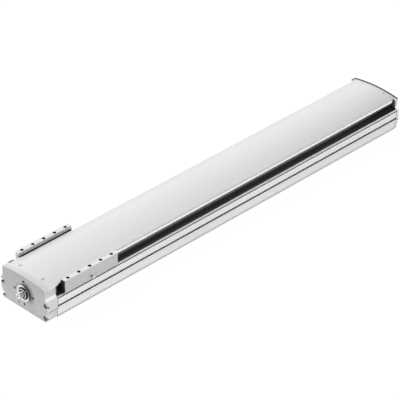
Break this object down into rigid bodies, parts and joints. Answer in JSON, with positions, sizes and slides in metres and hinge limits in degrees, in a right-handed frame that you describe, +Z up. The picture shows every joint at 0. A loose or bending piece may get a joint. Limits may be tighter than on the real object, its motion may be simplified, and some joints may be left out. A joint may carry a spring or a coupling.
{
  "type": "ball screw linear axis",
  "caption": "Long aluminium linear axis with a crowned cover, two mounting bars that slide along side slots, and a ball screw whose shaft leaves the drive end.",
  "frame": {"origin": "bottom centre of the whole axis with its shaft", "axes": "+X from the drive end to the far end, +Y to the left, +Z up"},
  "size_m": [1.457, 0.223, 0.1135],
  "materials": {
    "anodised": "natural anodised aluminium, fine satin",
    "cover": "natural anodised aluminium, satin, slightly lighter",
    "cast": "machined aluminium caps, satin",
    "bar": "milled and anodised aluminium",
    "steel": "ground steel",
    "bright_steel": "ground and polished steel",
    "screw_steel": "zinc plated screws",
    "black_plastic": "black plastic, matt",
    "seal": "dark grey rubber",
    "trim": "dark grey trim",
    "brass": "plated grease nipple",
    "dark_plate": "black anodised aluminium",
    "block_plastic": "black plastic ends of the guide blocks"
  },
  "bodies": {
    "base": {"base_profile": "anodised", "cover": "cover", "drive_cap": "cast", "end_cap": "cast", "collar": "steel", "collar_seal": "seal", "end_trim": "trim", "side_clips": "trim", "guard_strips": "black_plastic", "lip_seals": "seal", "dust_plates": "black_plastic", "rails": "steel", "rail_screws": "screw_steel", "drive_cap_screws": "screw_steel", "end_cap_screws": "screw_steel", "cover_screws": "screw_steel", "buffers": "seal", "drive_bearing_outer": "steel", "drive_bearing_shields": "black_plastic", "end_bearing_outer": "steel"},
    "carriage": {"cross_plate": "dark_plate", "bar_left": "bar", "bar_right": "bar", "bar_end_plate": "black_plastic", "bar_wipers": "black_plastic", "runner_blocks": "steel", "runner_ends": "block_plastic", "nut_housing": "anodised", "ball_nut": "steel", "nut_screws": "screw_steel", "plate_screws": "screw_steel", "bar_screws": "screw_steel", "lube_nipples": "brass", "port_plugs": "screw_steel"},
    "spindle": {"spindle": "bright_steel", "lock_nut": "steel", "shaft_seal": "seal", "drive_bearing_inner": "steel", "end_bearing_inner": "steel", "retaining_ring": "steel"}
  },
  "joints": [
    {"name": "carriage_slide", "type": "slide", "parent": "base", "child": "carriage", "axis": [1, 0, 0], "range_m": [-0.006, 1.146]},
    {"name": "spindle_turn", "type": "hinge", "parent": "base", "child": "spindle", "pos_m": [0, 0, 0.055], "axis": [1, 0, 0], "range_deg": [-20700, 180]}
  ],
  "couplings": [
    {"joint": "spindle_turn", "follows": "carriage_slide", "rad_per_m": -314.16}
  ]
}
